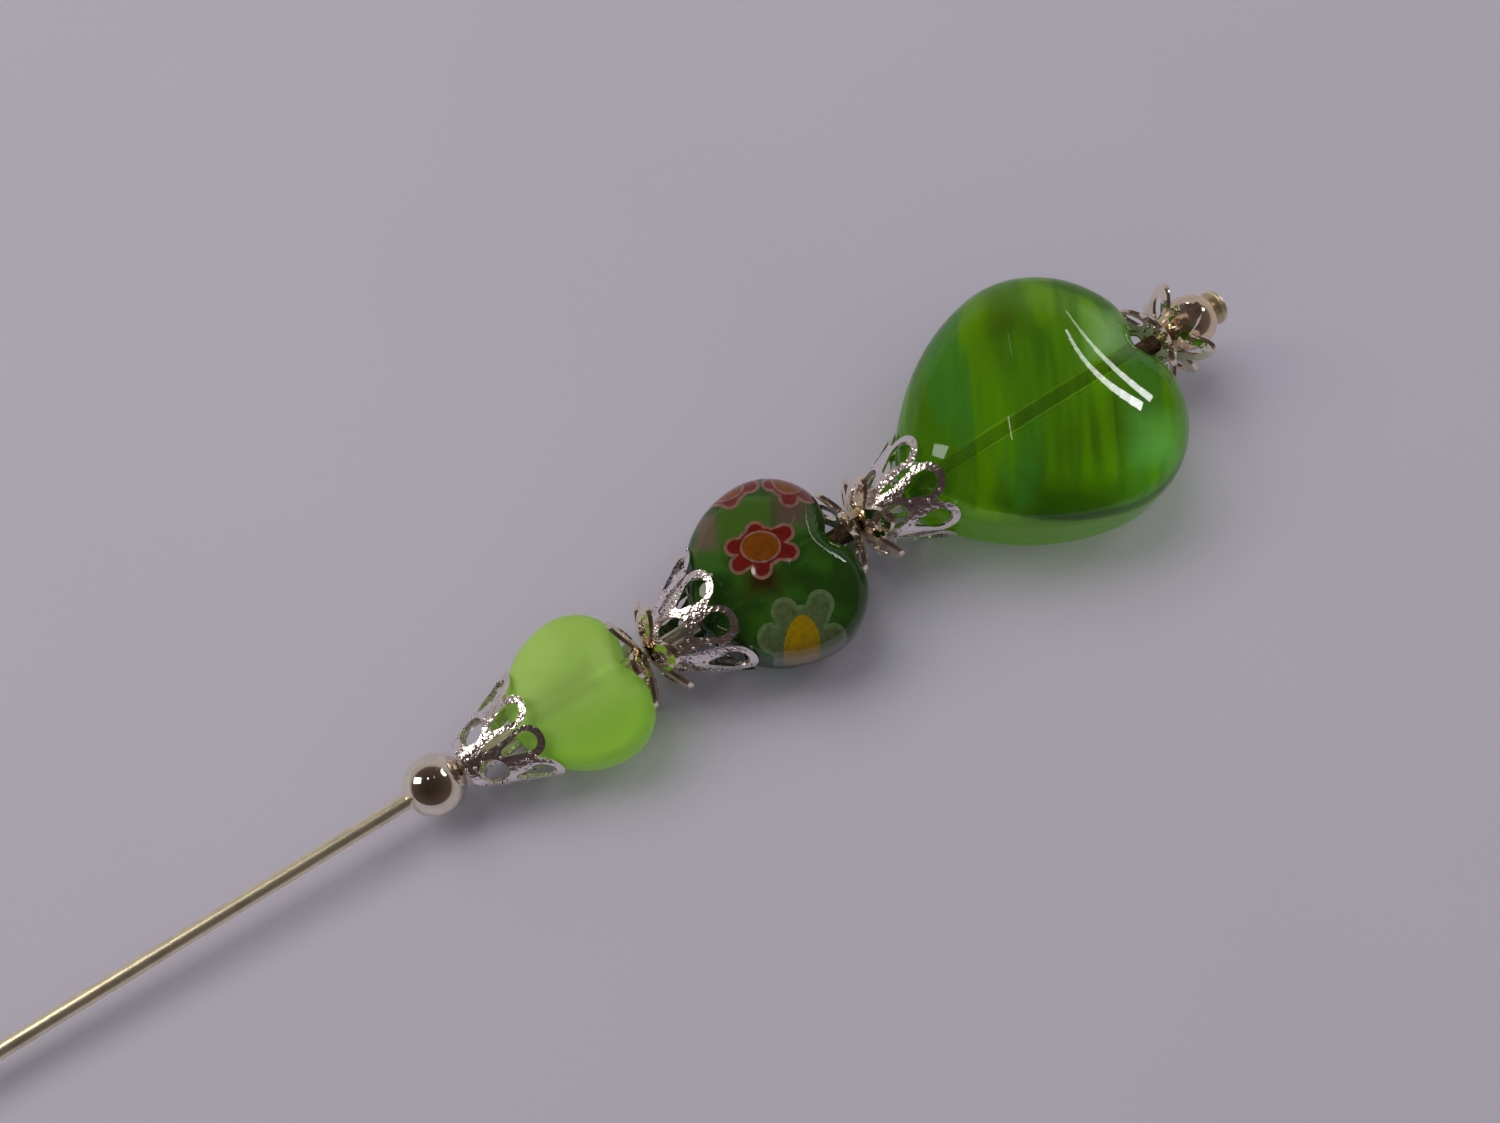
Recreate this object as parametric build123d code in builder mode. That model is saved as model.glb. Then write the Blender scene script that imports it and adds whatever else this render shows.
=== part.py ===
"""Beaded stick pin for hair: three glass hearts with silver-plated caps on one headed wire.

Millimetres. The wire lies along X with the flat top of its head at X = 0 and its point
towards -X. The hearts lie flat, so their thickness is along Z and their width along Y.
Every bead and cap is placed from the one before it, starting at the head.
"""
import os
from collections import namedtuple
from math import atan2, cos, degrees, hypot, radians, sin, sqrt

from build123d import *

os.makedirs("parts", exist_ok=True)

# ---------------------------------------------------------------- driving dimensions

# headed wire
wire_radius = 0.525
wire_length = 152.0
point_length = 7.0
point_radius = 0.12
head_radius = 1.35
head_thickness = 0.35
head_edge_round = 0.12

# round metal beads
bead_radius = 2.08
bead_hole_chamfer = 0.12

# adhesive inside the stopper bead
adhesive_length = 2.6

# sheet that the caps are pressed from
sheet_thickness = 0.25

# flower caps
petal_count = 6
petal_reach = 3.6
petal_half_width = 1.12
petal_half_length = 1.45
flower_hub_radius = 1.35
petal_hole_radius = 0.45
petal_hole_length = 1.4
petal_hole_distance = 2.3

# cone caps
cone_length = 5.5
cone_base_radius = 1.7
cone_base_round = 0.3
segment_count = 4
window_radius = 0.92
window_distance = 1.6
loop_root_radius = 0.28
loop_hole_length = 2.45
loop_band = 0.46
slit_start = 1.5
slit_length = 2.6
slit_width = 0.5
finger_gap = 0.14
notch_depth = 1.1

# coat left in the holes of the lamp-worked hearts and on their necks
lining_thickness = 0.08

# millefiori canes, seen along Z in the cane's own axes: half sizes of each core and the
# places of the lobes round it; the bottoms are heights above the middle plane
star_core = (1.22, 1.02)
star_ring = 0.16
star_skirt = 0.3
star_lobes = ((-0.35, 1.2), (1.6, 1.0), (1.9, -0.4), (0.1, -1.6), (-1.4, -1.2), (-1.75, 0.05))
star_lobe_radius = 0.48
star_edge = 0.24
star_bottom = 1.6
rim_star_bottom = 0.5
flower_core = (1.25, 2.4)
flower_skirt = 0.35
flower_lobes = ((1.2, 3.2), (2.1, 1.1), (2.0, -1.5), (-2.0, -1.5), (-2.1, 1.0), (-1.2, 2.6))
flower_lobe_radius = 0.62
flower_edge = 0.3
flower_bottom = -0.3
lobe_root = 0.8
blue_core = (0.8, 1.7)
blue_bottom = -0.3

# clearances
bead_on_wire = 0.1
cap_on_wire = 0.08
glass_on_wire = 0.08
head_slack = 0.2
bead_to_cap = 0.25
back_to_back = 0.08
petal_to_glass = 0.12
cone_to_glass = 0.23
cup_to_cone = 0.3
stopper_slack = 0.1
lining_to_cap = 0.3

# big heart
big_lobe_radius = 7.8
big_lobe_spread = 2.2
big_shoulder_radius = 3.8
big_shoulder_angle = 12.0
big_flank_radius = 18.0
big_tip_radius = 3.0
big_cleft_radius = 0.8
big_length = 21.5
big_half_thickness = 4.8
big_rim_half = 2.75
big_rim_round = 2.65
big_crown_depth = 1.75
big_cup_depth = 1.5
big_mouth_width = 8.5
big_finger_lift = 0.8
big_loop_hole_radius = 0.85

# millefiori heart
mosaic_lobe_radius = 4.3
mosaic_lobe_spread = 2.4
mosaic_shoulder_radius = 3.4
mosaic_shoulder_angle = 15.0
mosaic_flank_radius = 7.2
mosaic_tip_radius = 2.2
mosaic_cleft_radius = 0.7
mosaic_length = 11.5
mosaic_half_thickness = 3.7
mosaic_rim_half = 2.0
mosaic_rim_round = 1.8
mosaic_crown_depth = 1.25
mosaic_cup_depth = 1.4
mosaic_mouth_width = 9.9
mosaic_finger_lift = 0.95
mosaic_loop_hole_radius = 0.85

# frosted heart
frosted_lobe_radius = 3.45
frosted_lobe_spread = 1.85
frosted_shoulder_radius = 2.6
frosted_shoulder_angle = 15.0
frosted_flank_radius = 5.9
frosted_tip_radius = 1.3
frosted_cleft_radius = 0.6
frosted_length = 9.1
frosted_half_thickness = 2.7
frosted_rim_half = 1.35
frosted_rim_round = 1.2
frosted_crown_depth = 1.05
frosted_cup_depth = 1.3
frosted_mouth_width = 8.2
frosted_finger_lift = 0.7
frosted_loop_hole_radius = 0.68

# turn of each cap about the wire, in degrees from +Z towards +Y
cup_turns = (-4.0, 33.0, 30.0)
crown_turns = (18.0, -5.0, 38.0)
cone_turns = (-36.0, -4.0, 38.0)

Heart = namedtuple(
    "Heart",
    "name lobe_radius lobe_spread shoulder_radius shoulder_angle flank_radius tip_radius "
    "cleft_radius length half_thickness rim_half rim_round crown_depth cup_depth "
    "mouth_width finger_lift loop_hole_radius",
)

big = Heart(
    "big", big_lobe_radius, big_lobe_spread, big_shoulder_radius, big_shoulder_angle,
    big_flank_radius, big_tip_radius, big_cleft_radius, big_length, big_half_thickness,
    big_rim_half, big_rim_round, big_crown_depth, big_cup_depth, big_mouth_width,
    big_finger_lift, big_loop_hole_radius,
)
mosaic = Heart(
    "millefiori", mosaic_lobe_radius, mosaic_lobe_spread, mosaic_shoulder_radius,
    mosaic_shoulder_angle, mosaic_flank_radius, mosaic_tip_radius, mosaic_cleft_radius,
    mosaic_length, mosaic_half_thickness, mosaic_rim_half, mosaic_rim_round,
    mosaic_crown_depth, mosaic_cup_depth, mosaic_mouth_width, mosaic_finger_lift,
    mosaic_loop_hole_radius,
)
frosted = Heart(
    "frosted", frosted_lobe_radius, frosted_lobe_spread, frosted_shoulder_radius,
    frosted_shoulder_angle, frosted_flank_radius, frosted_tip_radius,
    frosted_cleft_radius, frosted_length, frosted_half_thickness, frosted_rim_half,
    frosted_rim_round, frosted_crown_depth, frosted_cup_depth, frosted_mouth_width,
    frosted_finger_lift, frosted_loop_hole_radius,
)

Place = namedtuple("Place", "back sideways turn bottom")

# cane centres on the front of the millefiori heart, measured back from its lobe tops
star_place = Place(5.55, 1.3, -32.7, star_bottom)
rim_star_places = (Place(5.0, 6.75, 150.0, rim_star_bottom), Place(1.0, 4.8, 60.0, rim_star_bottom))
flower_place = Place(7.0, -6.1, -32.7, flower_bottom)
blue_place = Place(11.4, 2.4, -62.0, blue_bottom)

# holes, from the wire and its clearances
bead_hole_radius = wire_radius + bead_on_wire
cap_hole_radius = wire_radius + cap_on_wire
glass_hole_radius = wire_radius + glass_on_wire
lined_hole_radius = glass_hole_radius + lining_thickness

TOWARDS_HEAD = 1
TOWARDS_POINT = -1


# ---------------------------------------------------------------- heart outline

Circles = namedtuple("Circles", "lobe shoulder flank tip cleft")


def heart_circles(heart):
    """Centres of the tangent circles of one heart's upper half, its lobe tops at x = 0."""
    turn = radians(heart.shoulder_angle)
    step = heart.lobe_radius - heart.shoulder_radius
    lobe = (-heart.shoulder_radius - step * cos(turn), heart.lobe_spread)
    shoulder = (-heart.shoulder_radius, heart.lobe_spread + step * sin(turn))
    tip = (-heart.length + heart.tip_radius, 0.0)
    to_lobe = heart.flank_radius - heart.lobe_radius
    to_tip = heart.flank_radius - heart.tip_radius
    apart = hypot(lobe[0] - tip[0], lobe[1])
    along = (to_tip**2 - to_lobe**2 + apart**2) / (2 * apart)
    across = sqrt(to_tip**2 - along**2)
    unit = ((lobe[0] - tip[0]) / apart, lobe[1] / apart)
    flank = (tip[0] + along * unit[0] + across * unit[1], along * unit[1] - across * unit[0])
    reach = heart.shoulder_radius + heart.cleft_radius
    cleft = (shoulder[0] + sqrt(reach**2 - shoulder[1] ** 2), 0.0)
    return Circles(lobe, shoulder, flank, tip, cleft)


def bearing(start, end):
    """Direction from one centre to another, in degrees."""
    return degrees(atan2(end[1] - start[1], end[0] - start[0]))


def heart_outline(heart, top_x):
    """Tangent arcs from the tip round one lobe to the cleft, mirrored in the wire."""
    at = heart_circles(heart)
    to_tip = bearing(at.flank, at.tip)
    to_lobe = bearing(at.flank, at.lobe)
    to_cleft = bearing(at.shoulder, at.cleft)
    with BuildSketch(Plane(origin=(top_x, 0, 0))) as outline:
        with BuildLine():
            CenterArc(at.tip, heart.tip_radius, to_tip, 180 - to_tip)
            CenterArc(at.flank, heart.flank_radius, to_lobe, to_tip - to_lobe)
            CenterArc(at.lobe, heart.lobe_radius, heart.shoulder_angle, to_lobe - heart.shoulder_angle)
            CenterArc(at.shoulder, heart.shoulder_radius, to_cleft, heart.shoulder_angle - to_cleft)
            CenterArc(at.cleft, heart.cleft_radius, 180 + to_cleft, -to_cleft)
            mirror(about=Plane.XZ)
        make_face()
    return outline.sketch


def dome_centre(heart):
    """Distance from the lobe tops back to the middle of the circle round both lobes and the tip."""
    at = heart_circles(heart)
    past_lobe = heart.length - heart.lobe_radius
    return (past_lobe**2 - at.lobe[0] ** 2 - at.lobe[1] ** 2) / (2 * (past_lobe + at.lobe[0]))


def dome_size(heart):
    """Radius of the domes, which come down to the rim's height on that circle."""
    rise = heart.half_thickness - heart.rim_half
    run = heart.length - dome_centre(heart)
    return (run**2 + rise**2) / (2 * rise)


def glass_blank(heart, top_x):
    """Puffed heart without its hole: the outline between two domes, with a rounded rim."""
    half = heart.half_thickness
    dome_radius = dome_size(heart)
    with BuildPart() as blank:
        extrude(heart_outline(heart, top_x), amount=2 * half, both=True)
        for side in (1, -1):
            with Locations((top_x - dome_centre(heart), 0, side * (half - dome_radius))):
                Sphere(dome_radius, rotation=(90, 0, 0), mode=Mode.INTERSECT)
        fillet(blank.edges().filter_by(GeomType.LINE, reverse=True), radius=heart.rim_round)
    return blank.part


# ---------------------------------------------------------------- places along the wire

Unit = namedtuple("Unit", "heart cup_back crown_back top cone_base")


def lobe_drop(heart):
    """How far behind the lobe tops the outline is where the petal tips stand."""
    at = heart_circles(heart)
    return -(at.lobe[0] + sqrt(heart.lobe_radius**2 - (petal_reach - at.lobe[1]) ** 2))


def cone_setback(heart):
    """From the lobe tops back to the outside of the cone cap's base."""
    at = heart_circles(heart)
    mouth = heart.mouth_width / 2 - sheet_thickness
    throat = cone_base_radius - sheet_thickness
    slope = (mouth - throat) / (cone_length - sheet_thickness)
    stretch = sqrt(1 + slope**2)
    by_tip = at.tip[0] - ((heart.tip_radius + cone_to_glass) * stretch - throat) / slope - sheet_thickness
    rim_half_width = mouth - cone_to_glass
    run = sqrt(heart.flank_radius**2 - (rim_half_width - at.flank[1]) ** 2)
    by_rim = at.flank[0] - run - cone_length
    return -min(by_tip, by_rim)


def place_unit(heart, seat_x, gap):
    """A cup cap against seat_x, its crown cap, the heart and the cone cap on its tip."""
    cup_back = seat_x - gap - sheet_thickness
    crown_back = cup_back - back_to_back
    petal_tip = crown_back - heart.crown_depth - sheet_thickness
    top = petal_tip - petal_to_glass + lobe_drop(heart)
    return Unit(heart, cup_back, crown_back, top, top - cone_setback(heart))


head_bead_x = -(head_thickness + head_slack + bead_radius)
units = []
seat = head_bead_x - bead_radius
seat_gap = bead_to_cap
for heart in (big, mosaic, frosted):
    unit = place_unit(heart, seat, seat_gap)
    units.append(unit)
    seat = unit.cone_base
    seat_gap = cup_to_cone
stopper_x = units[-1].cone_base - stopper_slack - bead_radius


# ---------------------------------------------------------------- wire and round beads

with BuildPart() as pin_wire:
    with BuildSketch(Plane.XY):
        with BuildLine():
            Polyline(
                (0, 0),
                (0, head_radius),
                (-head_thickness, head_radius),
                (-head_thickness, wire_radius),
                (point_length - wire_length, wire_radius),
                (-wire_length, point_radius),
                (-wire_length, 0),
                close=True,
            )
        make_face()
    revolve(axis=Axis.X)
    head_rims = pin_wire.edges().filter_by(lambda edge: edge.bounding_box().size.Y > 2 * head_radius - 0.01)
    fillet(head_rims, radius=head_edge_round)
pin_wire.part.label = "pin_wire"
export_step(pin_wire.part, "parts/pin_wire.step")


def round_bead(centre_x):
    """Polished ball with a through hole, its mouths softened."""
    with BuildPart() as bead:
        with Locations((centre_x, 0, 0)):
            Sphere(bead_radius, rotation=(0, 90, 0))
            Cylinder(bead_hole_radius, 2 * bead_radius, rotation=(0, 90, 0), mode=Mode.SUBTRACT)
        mouths = bead.edges().filter_by(GeomType.CIRCLE)
        chamfer(mouths, bead_hole_chamfer)
    return bead.part


for name, centre_x in (("head_bead", head_bead_x), ("stopper_bead", stopper_x)):
    bead = round_bead(centre_x)
    bead.label = name
    export_step(bead, f"parts/{name}.step")

with BuildPart() as adhesive:
    with BuildSketch(Plane.YZ.offset(stopper_x - adhesive_length / 2)):
        Circle(bead_hole_radius)
        Circle(wire_radius, mode=Mode.SUBTRACT)
    extrude(amount=adhesive_length)
adhesive.part.label = "stopper_adhesive"
export_step(adhesive.part, "parts/stopper_adhesive.step")


# ---------------------------------------------------------------- pressed caps


def flower_cap(back_x, facing, depth, turn):
    """Six-petalled bowl of thin sheet, its back at back_x and its petals on the facing side."""
    outer = (petal_reach**2 + depth**2) / (2 * depth)
    centre = (back_x + facing * outer, 0, 0)
    petal_centre = petal_reach - petal_half_length
    with BuildPart() as cap:
        with BuildSketch(Plane.YZ.offset(back_x)):
            Circle(flower_hub_radius)
            with PolarLocations(petal_centre, petal_count, start_angle=90 - turn):
                Ellipse(petal_half_length, petal_half_width)
            with PolarLocations(petal_hole_distance, petal_count, start_angle=90 - turn):
                SlotOverall(petal_hole_length, 2 * petal_hole_radius, mode=Mode.SUBTRACT)
            Circle(cap_hole_radius, mode=Mode.SUBTRACT)
        extrude(amount=facing * (depth + sheet_thickness + 1))
        with Locations(centre):
            Sphere(outer, mode=Mode.INTERSECT)
            Sphere(outer - sheet_thickness, mode=Mode.SUBTRACT)
    return cap.part


def radial_planes(x, turns):
    """Sketch planes on the wire's axis: x runs along the wire and the normal points outwards."""
    return [
        Plane(origin=(x, 0, 0), x_dir=(1, 0, 0), z_dir=(0, sin(radians(turn)), cos(radians(turn))))
        for turn in turns
    ]


def mouth_half_height(heart):
    """Half height of the cone cap's mouth, its fingers held just above the glass."""
    rim_back = cone_setback(heart) - cone_length
    dome_radius = dome_size(heart)
    from_centre = rim_back - dome_centre(heart)
    glass = heart.half_thickness - dome_radius + sqrt(dome_radius**2 - from_centre**2)
    return glass + heart.finger_lift + sheet_thickness


def loop_radius(width, height, turn):
    """Radius of the loop that stands at this turn on the cone cap's mouth."""
    reach = 1 / hypot(sin(radians(turn)) / width, cos(radians(turn)) / height)
    return reach * sin(radians(90 / segment_count)) - finger_gap / 2


def cone_cap(heart, base_x, turn):
    """Long cap of four fingers, each with a round window low down and two open loops."""
    width = heart.mouth_width / 2
    height = mouth_half_height(heart)
    spacing = 360 / segment_count
    middles = [turn + segment * spacing for segment in range(segment_count)]
    borders = [middle + spacing / 2 for middle in middles]
    loops = [middle + side * spacing / 4 for middle in middles for side in (-1, 1)]
    cut = max(width, height) + 1
    hole_x = cone_length - loop_band - heart.loop_hole_radius
    root_x = hole_x + heart.loop_hole_radius - loop_hole_length + loop_root_radius
    slit_middle = slit_start + slit_length / 2
    with BuildPart() as cap:
        with BuildSketch(Plane.YZ.offset(base_x)):
            Circle(cone_base_radius)
        with BuildSketch(Plane.YZ.offset(base_x + cone_length)):
            Ellipse(width, height)
        loft()
        fillet(cap.edges().group_by(Axis.X)[0], radius=cone_base_round)
        with BuildSketch(Plane.YZ.offset(base_x + sheet_thickness)):
            Circle(cone_base_radius - sheet_thickness)
        with BuildSketch(Plane.YZ.offset(base_x + cone_length)):
            Ellipse(width - sheet_thickness, height - sheet_thickness)
        loft(mode=Mode.SUBTRACT)
        with BuildSketch(Plane.YZ.offset(base_x)):
            Circle(cap_hole_radius)
        extrude(amount=cone_length, mode=Mode.SUBTRACT)
        with BuildSketch(*radial_planes(base_x, middles)):
            with Locations((window_distance, 0)):
                Circle(window_radius)
        extrude(amount=cut, mode=Mode.SUBTRACT)
        with BuildSketch(*radial_planes(base_x, loops)):
            with Locations((hole_x, 0)):
                Circle(heart.loop_hole_radius)
            with Locations((root_x, 0)):
                Circle(loop_root_radius)
            make_hull()
        extrude(amount=cut, mode=Mode.SUBTRACT)
        with BuildSketch(*radial_planes(base_x, borders)):
            with Locations((slit_middle, 0)):
                Ellipse(slit_length / 2, slit_width / 2)
            with Locations((slit_middle, 0)):
                Rectangle(cone_length, finger_gap, align=(Align.MIN, Align.CENTER))
        extrude(amount=cut, mode=Mode.SUBTRACT)
        for notch in middles[:2] + borders[:2]:
            sides = [(side, loop_radius(width, height, notch + side * spacing / 4)) for side in (-1, 1)]
            with BuildSketch(*radial_planes(base_x, (notch, notch + 180))):
                for side, radius in sides:
                    reach = radius + finger_gap / 2
                    with Locations((cone_length, side * reach / 2)):
                        Rectangle(2 * notch_depth, reach)
                for side, radius in sides:
                    with Locations((cone_length - radius, side * (radius + finger_gap / 2))):
                        Circle(radius, mode=Mode.SUBTRACT)
            extrude(amount=cut, mode=Mode.SUBTRACT)
    return cap.part


def write(piece, name):
    """Label one finished piece and write its STEP file."""
    piece.label = name
    export_step(piece, f"parts/{name}.step")


for unit, cup_turn, crown_turn, cone_turn in zip(units, cup_turns, crown_turns, cone_turns):
    owner = unit.heart.name
    write(flower_cap(unit.cup_back, TOWARDS_HEAD, unit.heart.cup_depth, cup_turn), f"{owner}_cup_cap")
    write(flower_cap(unit.crown_back, TOWARDS_POINT, unit.heart.crown_depth, crown_turn), f"{owner}_crown_cap")
    write(cone_cap(unit.heart, unit.cone_base, cone_turn), f"{owner}_cone_cap")


# ---------------------------------------------------------------- glass hearts


def bored(blank, radius):
    """The glass with its hole along the wire."""
    with BuildPart() as glass:
        add(blank)
        with BuildSketch(Plane.YZ):
            Circle(radius)
        extrude(amount=-wire_length, mode=Mode.SUBTRACT)
    return glass.part


def hole_lining(unit):
    """Release coat: a thin tube from behind the crown cap through the hole to the tip."""
    start = unit.crown_back - sheet_thickness - lining_to_cap
    with BuildPart() as lining:
        with BuildSketch(Plane.YZ.offset(start)):
            Circle(lined_hole_radius)
            Circle(glass_hole_radius, mode=Mode.SUBTRACT)
        extrude(amount=unit.top - unit.heart.length - start)
    return lining.part


big_unit, mosaic_unit, frosted_unit = units

big_blank = glass_blank(big, big_unit.top)
write(bored(big_blank, lined_hole_radius), "big_heart")
write(hole_lining(big_unit), "big_heart_hole_lining")

frosted_blank = glass_blank(frosted, frosted_unit.top)
write(bored(frosted_blank, glass_hole_radius), "frosted_heart")


# ---------------------------------------------------------------- millefiori canes


def cane_plane(place):
    """Drawing plane of a cane at its bottom height, turned as the cane is."""
    turned = Plane((mosaic_unit.top - place.back, place.sideways, place.bottom))
    return turned.rotated((0, 0, place.turn))


def core_outline(place, core, grow=0.0):
    """Oval outline of a cane's core, grown all round."""
    with BuildSketch(cane_plane(place)) as outline:
        Ellipse(core[0] + grow, core[1] + grow)
    return outline.sketch


def drop_outline(lobe, radius):
    """Drop-shaped outline from the middle of a cane out to one of its lobes."""
    with BuildSketch() as outline:
        Circle(lobe_root)
        with Locations(lobe):
            Circle(radius)
        make_hull()
    return outline.sketch


def lobed_outline(place, core, skirt, lobes, radius, grow=0.0):
    """Outline of a whole cane: its core with a skirt round it and the lobes."""
    drops = [drop_outline(lobe, radius + grow) for lobe in lobes]
    with BuildSketch(cane_plane(place)) as outline:
        Ellipse(core[0] + skirt + grow, core[1] + skirt + grow)
        add(drops)
    return outline.sketch


def columns(outlines, middles=()):
    """Upright columns through the front face, and the same turned over through the back."""
    tall = 2 * mosaic.half_thickness
    with BuildPart() as front:
        for outline in outlines:
            extrude(outline, amount=tall)
        for middle in middles:
            extrude(middle, amount=tall, mode=Mode.SUBTRACT)
    with BuildPart() as both:
        add(front.part)
        add(front.part, rotation=(180, 0, 0))
    return both.part


def slices(blank, pieces):
    """What lies in the glass of each set of columns."""
    with BuildPart() as cane:
        for piece in pieces:
            add(piece)
        add(blank, mode=Mode.INTERSECT)
    return cane.part


mosaic_blank = glass_blank(mosaic, mosaic_unit.top)

stars = (star_place,) + rim_star_places
star_cores = [core_outline(place, star_core) for place in stars]
star_rings = [core_outline(place, star_core, star_ring) for place in stars]
star_shape = (star_core, star_skirt, star_lobes, star_lobe_radius)
star_bodies = [lobed_outline(place, *star_shape) for place in stars]
star_edges = [lobed_outline(place, *star_shape, star_edge) for place in stars]
flower_shape = (flower_core, flower_skirt, flower_lobes, flower_lobe_radius)
flower_middle = core_outline(flower_place, flower_core)
flower_body = lobed_outline(flower_place, *flower_shape)
flower_rim = lobed_outline(flower_place, *flower_shape, flower_edge)
blue_oval = core_outline(blue_place, blue_core)

canes = {
    "star_cane_orange": [columns(star_cores)],
    "star_cane_red": [columns(star_bodies, star_rings)],
    "star_cane_white": [columns(star_rings, star_cores), columns(star_edges, star_bodies)],
    "flower_cane_yellow": [columns([flower_middle])],
    "flower_cane_green": [columns([flower_body], [flower_middle])],
    "flower_cane_white": [columns([flower_rim], [flower_body])],
    "blue_cane": [columns([blue_oval])],
}
for name, pieces in canes.items():
    write(slices(mosaic_blank, pieces), name)

with BuildPart() as mosaic_heart:
    add(bored(mosaic_blank, lined_hole_radius))
    add(columns([*star_edges, flower_rim, blue_oval]), mode=Mode.SUBTRACT)
write(mosaic_heart.part, "millefiori_heart")
write(hole_lining(mosaic_unit), "millefiori_heart_hole_lining")
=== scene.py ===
from math import atan2, cos, pi, radians, sin
from random import Random

import bmesh
import bpy
from mathutils import Matrix, Vector


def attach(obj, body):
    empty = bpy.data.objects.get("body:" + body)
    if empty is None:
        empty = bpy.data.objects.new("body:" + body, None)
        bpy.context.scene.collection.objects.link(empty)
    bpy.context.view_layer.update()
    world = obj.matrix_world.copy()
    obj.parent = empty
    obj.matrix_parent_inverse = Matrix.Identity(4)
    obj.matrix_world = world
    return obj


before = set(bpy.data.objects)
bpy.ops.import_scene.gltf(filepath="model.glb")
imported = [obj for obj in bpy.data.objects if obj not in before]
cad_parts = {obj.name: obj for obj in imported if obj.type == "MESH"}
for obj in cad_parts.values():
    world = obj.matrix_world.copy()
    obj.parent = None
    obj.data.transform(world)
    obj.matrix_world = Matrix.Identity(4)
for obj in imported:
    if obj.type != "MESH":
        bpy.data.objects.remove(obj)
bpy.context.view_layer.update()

MM = 0.001
MM_PER_METRE = 1000.0

# turns about the upright axis, in degrees
STREAK_TURN = -57.0  # the streaks drawn across the big heart
VIEW_TURN = -32.7  # colour patches that lie square to the first view, where the pin slants

# ------------------------------------------------------------------ shader helpers


def new_material(name):
    material = bpy.data.materials.new(name)
    material.use_nodes = True
    material.node_tree.nodes.clear()
    return material, material.node_tree


def node(tree, kind, **settings):
    made = tree.nodes.new(kind)
    for key, value in settings.items():
        setattr(made, key, value)
    return made


def feed(tree, socket, value):
    """Link a socket, or set its plain value."""
    if isinstance(value, bpy.types.NodeSocket):
        tree.links.new(value, socket)
    else:
        socket.default_value = value


def rgba(colour):
    return (*colour, 1.0)


def object_mm(tree):
    """Object coordinates in millimetres."""
    coords = node(tree, "ShaderNodeTexCoord")
    scale = node(tree, "ShaderNodeVectorMath", operation="SCALE")
    tree.links.new(coords.outputs["Object"], scale.inputs[0])
    scale.inputs["Scale"].default_value = MM_PER_METRE
    return scale.outputs["Vector"]


def stretched(tree, vector, scale):
    mapping = node(tree, "ShaderNodeMapping")
    tree.links.new(vector, mapping.inputs["Vector"])
    mapping.inputs["Scale"].default_value = scale
    return mapping.outputs["Vector"]


def across(tree, vector, scale):
    """Stretched coordinates along and across the streaks of the big heart."""
    turned = node(tree, "ShaderNodeVectorRotate", rotation_type="Z_AXIS")
    tree.links.new(vector, turned.inputs["Vector"])
    turned.inputs["Angle"].default_value = radians(STREAK_TURN)
    return stretched(tree, turned.outputs["Vector"], scale)


def patch(tree, vector, middle, half, turn, soft):
    """1 inside a turned upright column, fading over a soft edge: x and y in mm, turn in degrees."""
    moved = node(tree, "ShaderNodeVectorMath", operation="SUBTRACT")
    tree.links.new(vector, moved.inputs[0])
    moved.inputs[1].default_value = (*middle, 0.0)
    turned = node(tree, "ShaderNodeVectorRotate", rotation_type="Z_AXIS")
    tree.links.new(moved.outputs[0], turned.inputs["Vector"])
    turned.inputs["Angle"].default_value = radians(-turn)
    size = node(tree, "ShaderNodeVectorMath", operation="ABSOLUTE")
    tree.links.new(turned.outputs["Vector"], size.inputs[0])
    inside = node(tree, "ShaderNodeVectorMath", operation="SUBTRACT")
    inside.inputs[0].default_value = (*half, 0.0)
    tree.links.new(size.outputs[0], inside.inputs[1])
    parts = node(tree, "ShaderNodeSeparateXYZ")
    tree.links.new(inside.outputs[0], parts.inputs[0])
    nearest = node(tree, "ShaderNodeMath", operation="MINIMUM")
    tree.links.new(parts.outputs["X"], nearest.inputs[0])
    tree.links.new(parts.outputs["Y"], nearest.inputs[1])
    fade = node(tree, "ShaderNodeMapRange")
    tree.links.new(nearest.outputs[0], fade.inputs["Value"])
    fade.inputs["From Min"].default_value = -soft
    fade.inputs["From Max"].default_value = soft
    return fade.outputs["Result"]


def noise(tree, vector, scale, detail=3.0, distortion=0.0, roughness=0.5):
    texture = node(tree, "ShaderNodeTexNoise")
    tree.links.new(vector, texture.inputs["Vector"])
    texture.inputs["Scale"].default_value = scale
    texture.inputs["Detail"].default_value = detail
    texture.inputs["Distortion"].default_value = distortion
    texture.inputs["Roughness"].default_value = roughness
    return texture.outputs["Fac"]


def ramp(tree, value, stops):
    """Colour ramp; stops are (position, colour or grey)."""
    made = node(tree, "ShaderNodeValToRGB")
    elements = made.color_ramp.elements
    while len(elements) < len(stops):
        elements.new(0.5)
    for element, (position, colour) in zip(elements, stops):
        element.position = position
        element.color = rgba(colour) if isinstance(colour, tuple) else (colour, colour, colour, 1)
    tree.links.new(value, made.inputs["Fac"])
    return made.outputs["Color"]


def mixed(tree, factor, first, second):
    """Blend of two colours or greys, each a value or a socket."""
    made = node(tree, "ShaderNodeMix", data_type="RGBA")
    feed(tree, made.inputs[0], factor)
    for socket, value in ((made.inputs[6], first), (made.inputs[7], second)):
        if isinstance(value, float):
            value = (value, value, value)
        feed(tree, socket, rgba(value) if isinstance(value, tuple) else value)
    return made.outputs[2]


def bump(tree, height, strength, distance=0.1 * MM):
    made = node(tree, "ShaderNodeBump")
    made.inputs["Strength"].default_value = strength
    made.inputs["Distance"].default_value = distance
    tree.links.new(height, made.inputs["Height"])
    return made.outputs["Normal"]


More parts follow.
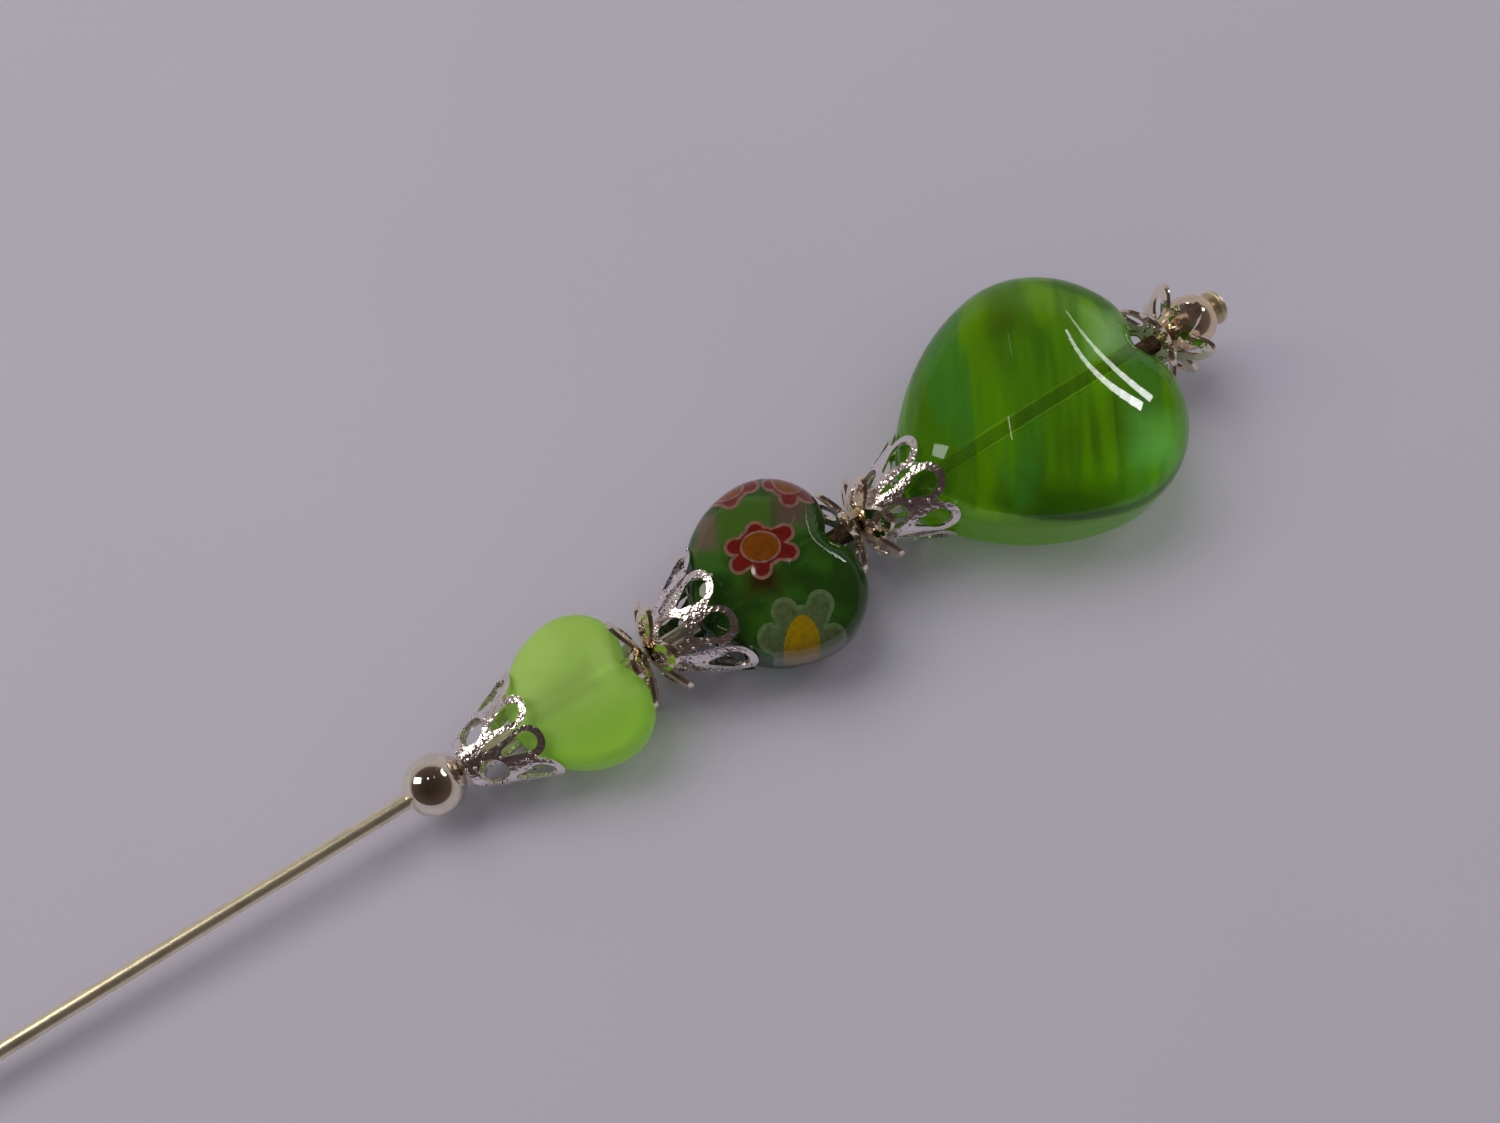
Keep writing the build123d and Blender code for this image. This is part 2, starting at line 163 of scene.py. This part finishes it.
def principled(tree, **values):
    shader = node(tree, "ShaderNodeBsdfPrincipled")
    for key, value in values.items():
        name = key.replace("_", " ").title().replace("Ior", "IOR")
        if isinstance(value, tuple):
            value = rgba(value)
        feed(tree, shader.inputs[name], value)
    return shader


def surface(tree, shader):
    output = node(tree, "ShaderNodeOutputMaterial")
    tree.links.new(shader.outputs[0], output.inputs["Surface"])


def lit_through(tree, shader, tint):
    """Glass that lets the lamps' light through, tinted."""
    path = node(tree, "ShaderNodeLightPath")
    clear = node(tree, "ShaderNodeBsdfTransparent")
    clear.inputs["Color"].default_value = rgba(tint)
    mix = node(tree, "ShaderNodeMixShader")
    tree.links.new(path.outputs["Is Shadow Ray"], mix.inputs[0])
    tree.links.new(shader.outputs[0], mix.inputs[1])
    tree.links.new(clear.outputs[0], mix.inputs[2])
    surface(tree, mix)


# ------------------------------------------------------------------ materials


TARNISH = 0.72  # share of the light left where the plate has dulled


def silver(name, tint, low, high, dents=0.0, dent_scale=1.0, metallic=1.0):
    """Plated metal of uneven roughness from low to high, with tarnish in soft clouds."""
    material, tree = new_material(name)
    place = object_mm(tree)
    cloud = noise(tree, place, 0.9, detail=5)
    fine = noise(tree, place, 5.0, detail=3)
    dull = tuple(TARNISH * channel for channel in tint)
    colour = mixed(tree, ramp(tree, cloud, [(0.45, 0.0), (0.75, 0.7)]), tint, dull)
    rough = ramp(tree, fine, [(0.35, low), (0.7, high)])
    shader = principled(tree, base_color=colour, metallic=metallic, roughness=rough)
    if dents:
        relief = bump(tree, noise(tree, place, dent_scale, detail=1), dents)
        tree.links.new(relief, shader.inputs["Normal"])
    surface(tree, shader)
    return material


GLASS_POLISH = 0.02  # roughness
GLASS_IOR = 1.5
RIM_SHARE = 0.33  # brings the height over the middle plane, in mm, into a ramp's 0 to 1


def emerald():
    """Green glass with yellow-green bands, blue-green veils, light and dark pools, and painted shade
    on the rim band: a deeper colour and a dimmed, green-tinted reflection.
    """
    material, tree = new_material("emerald_streaked_glass")
    place = object_mm(tree)
    along = across(tree, place, (0.07, 1.0, 0.7))
    band = noise(tree, along, 0.34, detail=2, distortion=0.25)
    fine = noise(tree, along, 1.5, detail=4, distortion=0.2)
    veil = noise(tree, stretched(tree, along, (1.6, 1, 1)), 0.24, detail=2, distortion=0.3)
    streaks = ramp(tree, fine, [(0.42, 0.0), (0.66, 0.85)])
    colour = mixed(tree, streaks, (0.175, 0.43, 0.012), (0.115, 0.31, 0.008))
    colour = mixed(tree, ramp(tree, veil, [(0.52, 0.0), (0.60, 0.8)]), colour, (0.13, 0.46, 0.06))
    bands = mixed(tree, fine, (0.33, 0.70, 0.001), (0.21, 0.54, 0.003))
    colour = mixed(tree, ramp(tree, band, [(0.49, 0.0), (0.56, 0.9)]), colour, bands)
    pools = (  # middle, half size and soft edge in mm, colour
        ((-12.6, -6.8), (1.7, 1.6), 1.0, (0.34, 0.95, 0.20)),
        ((-10.7, 1.4), (1.1, 1.7), 1.0, (0.60, 1.0, 0.40)),
        ((-20.4, -7.6), (3.0, 1.3), 1.0, (0.07, 0.20, 0.003)),
        ((-15.6, 6.6), (1.2, 2.0), 0.9, (0.13, 0.26, 0.004)),
    )
    for middle, half, soft, shade in pools:
        colour = mixed(tree, patch(tree, place, middle, half, VIEW_TURN, soft), colour, shade)
    axes = node(tree, "ShaderNodeSeparateXYZ")
    tree.links.new(place, axes.inputs[0])
    height = node(tree, "ShaderNodeMath", operation="ABSOLUTE")
    tree.links.new(axes.outputs["Z"], height.inputs[0])
    share = node(tree, "ShaderNodeMath", operation="MULTIPLY")
    tree.links.new(height.outputs[0], share.inputs[0])
    share.inputs[1].default_value = RIM_SHARE
    # painted shade: the rim band is drawn deeper and its reflection dimmed and tinted green,
    # standing in for the shaded floor it mirrors
    rim_painted_shade = ramp(tree, share.outputs[0], [(0.5, 1.0), (0.85, 0.0)])
    colour = mixed(tree, rim_painted_shade, colour, (0.15, 0.44, 0.004))
    dimmed_rim_reflection = mixed(tree, rim_painted_shade, (1.0, 1.0, 1.0), (0.28, 0.52, 0.08))
    shader = principled(
        tree, base_color=colour, roughness=GLASS_POLISH, ior=GLASS_IOR,
        transmission_weight=0.84, specular_ior_level=0.42, specular_tint=dimmed_rim_reflection,
    )
    lit_through(tree, shader, (0.50, 0.62, 0.42))
    return material


def dark_green():
    """Dark glass with a light block, a shade under the star and brown clouds, less clear in them."""
    material, tree = new_material("dark_green_glass")
    place = object_mm(tree)
    cloud = noise(tree, place, 0.5, detail=3)
    clouds = ramp(tree, cloud, [(0.42, 0.0), (0.62, 1.0)])
    colour = mixed(tree, clouds, (0.04, 0.13, 0.015), (0.07, 0.23, 0.02))
    patches = (  # middle, half size and soft edge in mm, colour
        ((-39.73, 3.61), (1.75, 1.75), 0.10, (0.05, 0.115, 0.013)),
        ((-43.3, 2.9), (1.1, 0.9), 0.5, (0.045, 0.115, 0.018)),
        ((-42.3, 4.5), (0.75, 1.4), 0.35, (0.13, 0.095, 0.06)),
        ((-36.8, 2.5), (1.2, 1.3), 0.6, (0.095, 0.062, 0.043)),
        ((-41.2, -0.8), (1.2, 0.9), 0.7, (0.028, 0.015, 0.003)),
    )
    clear = 0.75
    for middle, half, soft, shade in patches:
        inside = patch(tree, place, middle, half, VIEW_TURN, soft)
        colour = mixed(tree, inside, colour, shade)
        clear = mixed(tree, inside, clear, 0.35)
    shader = principled(
        tree, base_color=colour, roughness=GLASS_POLISH, ior=GLASS_IOR, transmission_weight=clear,
    )
    lit_through(tree, shader, (0.22, 0.5, 0.2))
    return material


def frosted_lime():
    """Etched glass: greener on one side, with a soft painted shade of the wire inside it."""
    material, tree = new_material("frosted_lime_glass")
    place = object_mm(tree)
    cloud = noise(tree, place, 0.22, detail=3)
    clouds = ramp(tree, cloud, [(0.4, 0.0), (0.65, 1.0)])
    colour = mixed(tree, clouds, (0.50, 0.77, 0.13), (0.61, 0.86, 0.21))
    greener = patch(tree, place, (-56.0, -3.8), (6.0, 2.2), 0.0, 1.8)
    colour = mixed(tree, greener, colour, (0.50, 0.89, 0.085))
    # painted shade: a soft dark band drawn where the wire runs inside the glass
    painted_wire_shade = patch(tree, place, (-56.0, 0.1), (1.6, 0.25), 0.0, 1.1)
    colour = mixed(tree, painted_wire_shade, colour, (0.34, 0.48, 0.13))
    grain = noise(tree, place, 14.0, detail=3)
    shader = principled(
        tree, base_color=colour, roughness=0.42, ior=1.45, transmission_weight=0.68,
        normal=bump(tree, grain, 0.12),
    )
    lit_through(tree, shader, (0.52, 0.66, 0.42))
    return material


def cane(name, colour, dark):
    """Opaque cane glass, streaked along the cane."""
    material, tree = new_material(name)
    place = object_mm(tree)
    fibres = noise(tree, stretched(tree, place, (1, 1, 0.15)), 2.4, detail=3)
    shade = mixed(tree, ramp(tree, fibres, [(0.42, 0.0), (0.7, 0.8)]), colour, dark)
    shader = principled(
        tree, base_color=shade, roughness=0.08, ior=GLASS_IOR, coat_weight=0.6, coat_roughness=0.03,
    )
    surface(tree, shader)
    return material


def grit(necks):
    """Release coat: dark with rust specks; inside the glass it is painted lighter than on the bare
    necks, as painted light that makes up for the light the green glass takes.
    """
    material, tree = new_material("release_grit")
    place = object_mm(tree)
    specks = noise(tree, place, 2.6, detail=6, roughness=0.75)
    # painted light: the coat inside the glass is drawn lighter than on the bare necks, to make up
    # for the light the glass takes
    colour = ramp(
        tree, specks,
        [(0.42, (0.012, 0.006, 0.003)), (0.58, (0.055, 0.028, 0.012)), (0.76, (0.50, 0.27, 0.12))],
    )
    bare = ramp(
        tree, specks,
        [(0.38, (0.014, 0.009, 0.005)), (0.56, (0.08, 0.042, 0.02)), (0.74, (0.26, 0.16, 0.09))],
    )
    for middle, half in necks:
        neck = patch(tree, place, (middle, 0.0), (half, 5.0), 0.0, 0.1)
        colour = mixed(tree, neck, colour, bare)
    relief = bump(tree, specks, 0.8, 0.2 * MM)
    surface(tree, principled(tree, base_color=colour, roughness=0.9, normal=relief))
    return material


def adhesive():
    """Set glue, cloudy and a little clear."""
    material, tree = new_material("clear_adhesive")
    place = object_mm(tree)
    colour = mixed(tree, noise(tree, place, 3.0), (0.8, 0.78, 0.7), (0.6, 0.56, 0.45))
    surface(tree, principled(tree, base_color=colour, roughness=0.25, transmission_weight=0.3))
    return material


bright = silver("bright_plate", (0.94, 0.90, 0.84), 0.03, 0.10)
brassy = silver("brassy_plate", (0.92, 0.74, 0.54), 0.04, 0.14, metallic=0.93)
petal = silver("petal_plate", (0.95, 0.86, 0.70), 0.06, 0.16, dents=0.45, dent_scale=2.6)
grained = silver("grained_plate", (0.94, 0.87, 0.86), 0.14, 0.28, dents=0.75, dent_scale=3.4)
wire_plate = silver("drawn_wire", (0.95, 0.88, 0.64), 0.34, 0.42, metallic=0.94)
warm_bead = silver("bead_plate", (0.95, 0.89, 0.74), 0.04, 0.12)

canes = {
    "star_cane_white": cane("cane_rose", (0.16, 0.078, 0.056), (0.07, 0.032, 0.022)),
    "star_cane_red": cane("cane_red", (0.10, 0.006, 0.003), (0.055, 0.003, 0.002)),
    "star_cane_orange": cane("cane_orange", (0.125, 0.034, 0.001), (0.08, 0.021, 0.001)),
    "flower_cane_white": cane("cane_mint", (0.075, 0.11, 0.045), (0.040, 0.066, 0.024)),
    "flower_cane_green": cane("cane_green", (0.055, 0.080, 0.028), (0.030, 0.046, 0.014)),
    "flower_cane_yellow": cane("cane_yellow", (0.20, 0.128, 0.001), (0.13, 0.080, 0.001)),
    "blue_cane": cane("cane_blue", (0.005, 0.009, 0.05), (0.02, 0.045, 0.055)),
}


def xs_of(name):
    """Where a node's vertices lie along the pin, in millimetres."""
    return [vertex.co.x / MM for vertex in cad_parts[name].data.vertices]


NECK_IN_GLASS = 1.5  # mm of the coat inside the glass that keep the bare neck's colour, without the painted light
necks = []
for owner in ("big", "millefiori"):
    coat_end = max(xs_of(f"{owner}_heart_hole_lining"))
    necks.append((coat_end, coat_end - max(xs_of(f"{owner}_heart")) + NECK_IN_GLASS))
coat = grit(necks)
looks = {
    "pin_wire": wire_plate,
    "head_bead": brassy,
    "stopper_bead": warm_bead,
    "stopper_adhesive": adhesive(),
    "big_heart": emerald(),
    "millefiori_heart": dark_green(),
    "frosted_heart": frosted_lime(),
    "big_heart_hole_lining": coat,
    "millefiori_heart_hole_lining": coat,
    **canes,
}
for owner in ("big", "millefiori", "frosted"):
    looks[f"{owner}_cup_cap"] = petal
    looks[f"{owner}_crown_cap"] = petal
    looks[f"{owner}_cone_cap"] = grained

for name, material in looks.items():
    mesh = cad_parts[name].data
    mesh.materials.clear()
    mesh.materials.append(material)

# ------------------------------------------------------------------ granules soldered to the caps

template = bmesh.new()
bmesh.ops.create_icosphere(template, subdivisions=2, radius=1.0)
ball_points = [vertex.co.copy() for vertex in template.verts]
ball_faces = [[vertex.index for vertex in face.verts] for face in template.faces]
template.free()


def granules(name, body, material, spots):
    """One piece made of small balls, each spot a centre and a radius in millimetres."""
    points, faces = [], []
    for centre, radius in spots:
        first = len(points)
        points += [(centre + radius * point) * MM for point in ball_points]
        faces += [[first + index for index in face] for face in ball_faces]
    mesh = bpy.data.meshes.new(name)
    mesh.from_pydata(points, [], faces)
    mesh.polygons.foreach_set("use_smooth", [True] * len(faces))
    mesh.materials.append(material)
    piece = bpy.data.objects.new(name, mesh)
    bpy.context.scene.collection.objects.link(piece)
    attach(piece, body)


FACING_OUT = 0.7  # a face carries balls where it looks this much away from the wire
BASE_WEIGHT = 1.15  # falls by 1 from the base of the cap to the ends of its loops
TRIES = 12  # for each ball that is wanted
GRANULE_GAP = 0.34  # mm between the centres of two balls
GRANULE_RADII = (0.09, 0.14)


def scattered(cap, count, seed):
    """Spots over a cone cap's outer faces, closest together near its base."""
    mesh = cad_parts[cap].data
    mesh.calc_loop_triangles()
    corners = [vertex.co / MM for vertex in mesh.vertices]
    base = min(corner.x for corner in corners)
    length = max(corner.x for corner in corners) - base
    triangles, weights = [], []
    for triangle in mesh.loop_triangles:
        a, b, c = (corners[index] for index in triangle.vertices)
        middle = (a + b + c) / 3
        outward = Vector((0, middle.y, middle.z)).normalized()
        if triangle.normal.dot(outward) > FACING_OUT:
            triangles.append((a, b, c))
            weights.append(triangle.area * (BASE_WEIGHT - (middle.x - base) / length))
    chance = Random(seed)
    spots = []
    for a, b, c in chance.choices(triangles, weights, k=TRIES * count):
        u, v = chance.random(), chance.random()
        if u + v > 1:
            u, v = 1 - u, 1 - v
        spot = a + u * (b - a) + v * (c - a)
        if len(spots) < count and all((spot - other).length > GRANULE_GAP for other, _ in spots):
            spots.append((spot, chance.uniform(*GRANULE_RADII)))
    return spots


HUB_BALLS = 11
HUB_RADIUS = 1.3  # mm from the wire's middle to a ball of the ring
HUB_DEPTH = 0.42  # mm from the back of the cap


def hub_ring(cap, facing, size):
    """Spots in a ring on the hub of a flower cap, inside its bowl."""
    xs = xs_of(cap)
    across_hub = (min(xs) if facing > 0 else max(xs)) + facing * HUB_DEPTH
    turns = [2 * pi * step / HUB_BALLS for step in range(HUB_BALLS)]
    return [
        (Vector((across_hub, HUB_RADIUS * sin(turn), HUB_RADIUS * cos(turn))), size)
        for turn in turns
    ]


for seed, (owner, count) in enumerate((("big", 60), ("millefiori", 95), ("frosted", 60))):
    spots = scattered(f"{owner}_cone_cap", count, seed)
    granules(f"{owner}_cone_granules", f"{owner}_heart_group", bright, spots)
    for part, facing, size in (("cup_cap", 1, 0.10), ("crown_cap", -1, 0.15)):
        cap = f"{owner}_{part}"
        granules(f"{cap}_granules", cap, bright, hub_ring(cap, facing, size))

# ------------------------------------------------------------------ floor, light and camera

# the pin lies on its big heart and its point, so the floor leans a little against its axis
belly = Vector((-18.0, 0.0, -4.82)) * MM
point = Vector((-152.0, 0.0, -0.15)) * MM
floor_turn = Matrix.Rotation(-atan2(belly.z - point.z, belly.x - point.x), 4, "Y")
FLOOR_HALF = 3.0  # metres
FLOOR_FAR = 1600.0  # mm from the pin, where the floor is at its palest: painted light that makes up for the lamps' fall-off far away
floor_signs = ((-1, -1), (1, -1), (1, 1), (-1, 1))
floor_corners = [(x * FLOOR_HALF, y * FLOOR_HALF, 0) for x, y in floor_signs]
floor_mesh = bpy.data.meshes.new("floor")
floor_mesh.from_pydata(floor_corners, [], [(0, 1, 2, 3)])
floor = bpy.data.objects.new("floor", floor_mesh)
bpy.context.scene.collection.objects.link(floor)
floor.matrix_world = Matrix.Translation(belly) @ floor_turn
material, tree = new_material("pale_floor")
place = object_mm(tree)
weave = noise(tree, place, 0.02, detail=2)
colour = mixed(tree, weave, (0.38, 0.355, 0.41), (0.42, 0.39, 0.45))
distance = node(tree, "ShaderNodeVectorMath", operation="LENGTH")
tree.links.new(place, distance.inputs[0])
share = node(tree, "ShaderNodeMath", operation="DIVIDE")
tree.links.new(distance.outputs["Value"], share.inputs[0])
share.inputs[1].default_value = FLOOR_FAR
# painted light: the floor is drawn paler further from the pin, standing in for the light the lamps
# give less of there
painted_far_light = ramp(tree, share.outputs[0], [(0.15, 0.0), (1.0, 1.0)])
colour = mixed(tree, painted_far_light, colour, (0.96, 0.90, 1.0))
surface(tree, principled(tree, base_color=colour, roughness=0.7, specular_ior_level=0.2))
floor_mesh.materials.append(material)


LAMP_TARGET = Vector((-38.0, 0.0, 0.0)) * MM  # the middle of the millefiori heart


def area_lamp(name, way, distance, size, watts, colour=(1, 1, 1), along=None, mirrored=True):
    """Rectangular lamp that looks at the hearts from a direction: distance and size in metres."""
    back = Vector(way).normalized()
    side = (Vector(along) if along else Vector((0, 0, 1)).cross(back)).normalized()
    side = (side - side.dot(back) * back).normalized()
    up = back.cross(side)
    data = bpy.data.lights.new(name, "AREA")
    data.shape = "RECTANGLE"
    data.size = size[0]
    data.size_y = size[1]
    data.energy = watts
    data.color = colour
    lamp = bpy.data.objects.new(name, data)
    bpy.context.scene.collection.objects.link(lamp)
    turn = Matrix((side, up, back)).transposed().to_4x4()
    lamp.matrix_world = Matrix.Translation(LAMP_TARGET + back * distance) @ turn
    lamp.visible_glossy = mirrored
    lamp.visible_transmission = False


area_lamp(
    "soft_window", (-0.14, 0.56, 0.82), distance=0.8, size=(0.5, 0.5), watts=3.3,
    colour=(0.98, 0.98, 1.0), mirrored=False,
)
area_lamp(
    "left_pane", (-0.62, 0.48, 0.60), distance=0.6, size=(0.17, 0.28), watts=0.75,
    colour=(1.0, 0.93, 0.82), along=(0.6, 0.75, 0.0),
)
area_lamp(
    "small_pane", (-0.115, 0.283, 0.952), distance=0.6, size=(0.040, 0.034), watts=0.022,
    along=(0.8, 0.5, 0.0),
)


def bent(share, first, middle, last):
    """A point of the curve that leaves first towards middle and ends at last."""
    return first * (1 - share) ** 2 + middle * 2 * share * (1 - share) + last * share**2


EDGE_DISTANCE = 0.5  # metres
EDGE_OVERLAP = 0.001  # metres by which the lamps of one edge run into each other
# bright window edges that the glass mirrors, each at its start, bend and end: the directions,
# the widths in metres and the glows in watts per square metre, and the number of lamps in the row
window_edges = {
    "near_edge": (
        ((0.707, 0.402, 0.581), (0.659, 0.187, 0.764), (0.775, -0.036, 0.631)),
        (0.006, 0.014, 0.026), (24, 22, 62), 10,
    ),
    "far_edge": (
        ((0.745, 0.458, 0.480), (0.7175, 0.222, 0.6725), (0.820, -0.022, 0.575)),
        (0.004, 0.011, 0.022), (8, 26, 46), 10,
    ),
    "thin_edge": (
        ((0.513, 0.540, 0.668), (0.487, 0.498, 0.716), (0.461, 0.455, 0.763)),
        (0.002, 0.002, 0.002), (4, 4, 4), 1,
    ),
    "short_edge": (
        ((0.262, 0.232, 0.937), (0.232, 0.177, 0.955), (0.202, 0.122, 0.972)),
        (0.003, 0.003, 0.003), (16, 16, 16), 1,
    ),
}
for name, (ways, widths, glows, pieces) in window_edges.items():
    bends = [Vector(way) for way in ways]
    for index in range(pieces):
        start, end = (bent((index + step) / pieces, *bends) * EDGE_DISTANCE for step in (0, 1))
        share = (index + 0.5) / pieces
        size = ((end - start).length + EDGE_OVERLAP, bent(share, *widths))
        watts = bent(share, *glows) * size[0] * size[1]
        area_lamp(f"{name}_{index}", start + end, EDGE_DISTANCE, size, watts, along=end - start)

# the first view: its axes in the world, the place of its eye in mm and its lens
VIEW_RIGHT = Vector((0.8411, -0.5409, 0.0))
VIEW_UP = Vector((0.5109, 0.7945, 0.3282))
VIEW_BACK = Vector((-0.1775, -0.2760, 0.9446))
VIEW_EYE = Vector((-55.03, -20.77, 77.35))
FOCAL_PIXELS = 1175.2
FRAME_PIXELS = 1500.0

world = bpy.data.worlds.new("studio")
world.use_nodes = True
bpy.context.scene.world = world
tree = world.node_tree
tree.nodes.clear()
coords = node(tree, "ShaderNodeTexCoord")
toward = node(tree, "ShaderNodeVectorMath", operation="DOT_PRODUCT")
tree.links.new(coords.outputs["Generated"], toward.inputs[0])
toward.inputs[1].default_value = VIEW_BACK
# what metal and glass mirror, along one fixed direction: pale near the floor, dark overhead
room = ramp(
    tree, toward.outputs["Value"],
    [
        (0.0, (0.36, 0.33, 0.34)), (0.17, (0.31, 0.28, 0.28)),
        (0.30, (0.08, 0.056, 0.052)), (1.0, (0.028, 0.018, 0.016)),
    ],
)
path = node(tree, "ShaderNodeLightPath")
shade = mixed(tree, path.outputs["Is Glossy Ray"], (0.38, 0.375, 0.39), room)
backdrop = mixed(tree, path.outputs["Is Camera Ray"], shade, (0.41, 0.38, 0.44))
background = node(tree, "ShaderNodeBackground")
tree.links.new(backdrop, background.inputs["Color"])
output = node(tree, "ShaderNodeOutputWorld")
tree.links.new(background.outputs[0], output.inputs["Surface"])

camera_data = bpy.data.cameras.new("camera")
camera_data.sensor_width = 36.0
camera_data.lens = camera_data.sensor_width * FOCAL_PIXELS / FRAME_PIXELS
camera_data.clip_start = 5 * MM
camera = bpy.data.objects.new("camera", camera_data)
bpy.context.scene.collection.objects.link(camera)
view_axes = Matrix((VIEW_RIGHT, VIEW_UP, VIEW_BACK)).transposed().to_4x4()
camera.matrix_world = Matrix.Translation(VIEW_EYE * MM) @ view_axes
bpy.context.scene.camera = camera
bpy.context.scene.view_settings.view_transform = "Standard"
